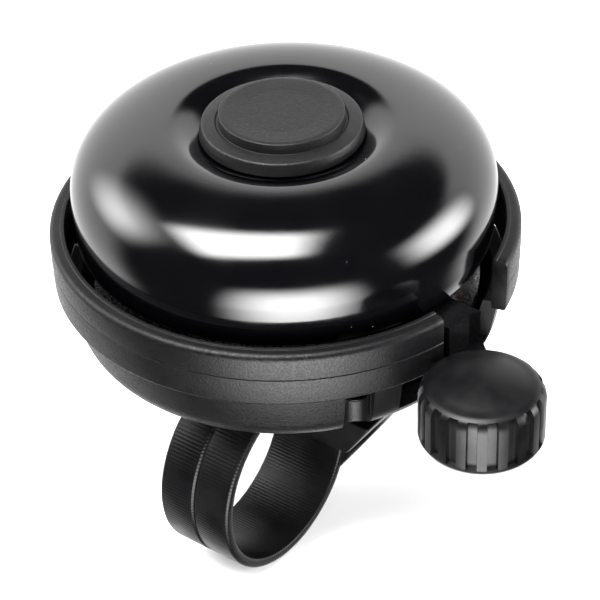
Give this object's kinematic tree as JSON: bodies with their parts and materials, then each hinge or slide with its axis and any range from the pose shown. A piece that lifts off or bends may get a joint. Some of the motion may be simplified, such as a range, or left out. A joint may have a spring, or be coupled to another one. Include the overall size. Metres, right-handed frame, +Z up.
{
  "type": "bicycle bell",
  "caption": "Rotary bicycle bell: domed metal gong on a round plastic base, side thumb lever with a ribbed knob, geared spinning clappers inside and a strap clamp for a handlebar.",
  "frame": {"origin": "middle of the clamp's loop, on the axis of the handlebar it grips", "axes": "+X along the handlebar towards the thumb lever, +Z up from the handlebar along the bell's axis, +Y across the handlebar towards the bell's heavier side"},
  "size_m": [0.0693, 0.0559, 0.0585],
  "materials": {
    "gong": "gloss black enamel over spun aluminium",
    "cap": "fine grained black plastic",
    "base": "grained black plastic",
    "lever": "satin black plastic",
    "knob": "glossy black plastic",
    "clamp": "satin black nylon",
    "steel": "bright zinc plated",
    "black_screw": "black oxide",
    "brass": "turned brass",
    "acetal": "moulded natural acetal"
  },
  "bodies": {
    "base": {"gong": "gong", "gong_stud_1": "steel", "gong_stud_2": "steel", "cap": "cap", "gong_spacer": "brass", "gong_washer": "steel", "gong_nut": "steel", "centre_post": "steel", "mechanism_plate": "steel", "plate_screw_1": "steel", "plate_screw_2": "steel", "plate_screw_3": "steel", "base_ring": "base", "base_bowl": "base", "case_screw_1": "black_screw", "case_screw_2": "black_screw", "case_screw_3": "black_screw", "lever_pin": "steel", "lever_clip": "steel", "idler_pin": "steel", "idler_clip": "steel", "clamp_strap": "clamp", "clamp_screw": "steel", "saddle_screw_1": "steel", "saddle_screw_2": "steel"},
    "lever": {"thumb_lever": "lever", "lever_knob": "knob", "knob_screw": "steel", "return_spring": "steel"},
    "idler": {"idler_gear": "acetal"},
    "rotor": {"rotor_pinion": "brass", "rotor_arm": "steel", "clapper_pin_1": "steel", "clapper_pin_2": "steel"},
    "clapper_1": {"clapper_disc_1": "steel"},
    "clapper_2": {"clapper_disc_2": "steel"}
  },
  "joints": [
    {"name": "lever_swing", "type": "hinge", "parent": "base", "child": "lever", "pos_m": [0.0121, 0.00575, 0.02585], "axis": [0, 0, 1], "range_deg": [0, 23], "stiffness_Nm_per_rad": 0.02, "springref_deg": -8.59},
    {"name": "idler_spin", "type": "hinge", "parent": "base", "child": "idler", "pos_m": [0.00677, 0.01998, 0.02685], "axis": [0, 0, 1], "range_deg": [-87.25, 1]},
    {"name": "rotor_spin", "type": "hinge", "parent": "base", "child": "rotor", "pos_m": [-0.0009, 0.00875, 0.02785], "axis": [0, 0, 1], "range_deg": [-1, 208]},
    {"name": "clapper_1_slide", "type": "slide", "parent": "rotor", "child": "clapper_1", "axis": [-0.9397, 0.342, 0], "range_m": [-0.0009, 0.0009]},
    {"name": "clapper_2_slide", "type": "slide", "parent": "rotor", "child": "clapper_2", "axis": [0.9397, -0.342, 0], "range_m": [-0.0009, 0.0009]}
  ],
  "couplings": [
    {"joint": "idler_spin", "follows": "lever_swing", "ratio": -3.75},
    {"joint": "rotor_spin", "follows": "lever_swing", "ratio": 9}
  ]
}
